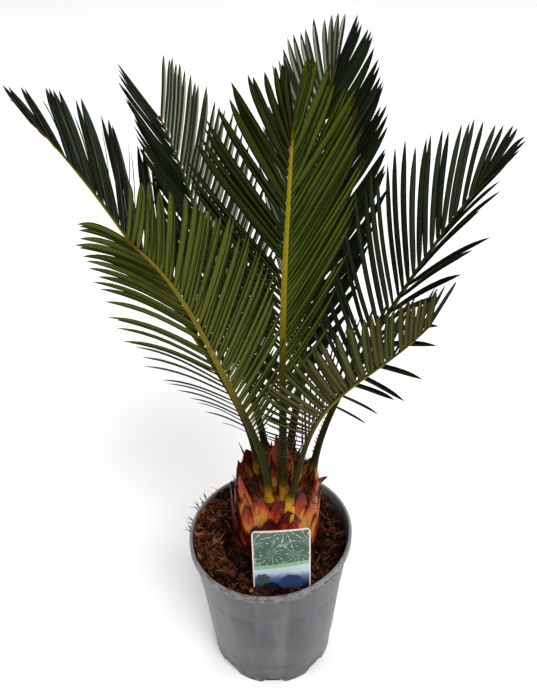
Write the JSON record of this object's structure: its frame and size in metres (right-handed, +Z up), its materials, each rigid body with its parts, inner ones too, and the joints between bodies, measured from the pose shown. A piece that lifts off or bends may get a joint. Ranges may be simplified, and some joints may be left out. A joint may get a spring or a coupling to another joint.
{
  "type": "potted sago palm",
  "caption": "Young sago palm with a scaly bulbous trunk and arching feather fronds, growing in a round tapered nursery pot with a plain plant label.",
  "frame": {"origin": "centre of the pot's flat underside, at the level it stands on", "axes": "+Z up through the pot's axis, -Y towards the front of the plant, where the label stands, and +X to the right of that view"},
  "size_m": [0.3654, 0.2974, 0.6157],
  "materials": {
    "pot_plastic": "satin grey, dusty",
    "peat": "rough, dark brown",
    "trunk_scales": "dry scales, red brown to yellow",
    "bud_wool": "brown wool",
    "label_card": "printed card, satin",
    "stalk": "smooth olive green",
    "leaflets": "glossy dark green above, olive below"
  },
  "bodies": {
    "root": {"pot": "pot_plastic", "soil": "peat", "trunk": "trunk_scales", "crown_bud": "bud_wool", "label": "label_card", "front_frond_stalk": "stalk", "front_left_frond_stalk": "stalk", "front_right_frond_stalk": "stalk", "left_frond_stalk": "stalk", "back_left_frond_stalk": "stalk", "back_frond_stalk": "stalk", "right_frond_stalk": "stalk", "front_frond_blade": "leaflets", "front_left_frond_blade": "leaflets", "front_right_frond_blade": "leaflets", "left_frond_blade": "leaflets", "back_left_frond_blade": "leaflets", "back_frond_blade": "leaflets", "right_frond_blade": "leaflets"}
  },
  "joints": []
}
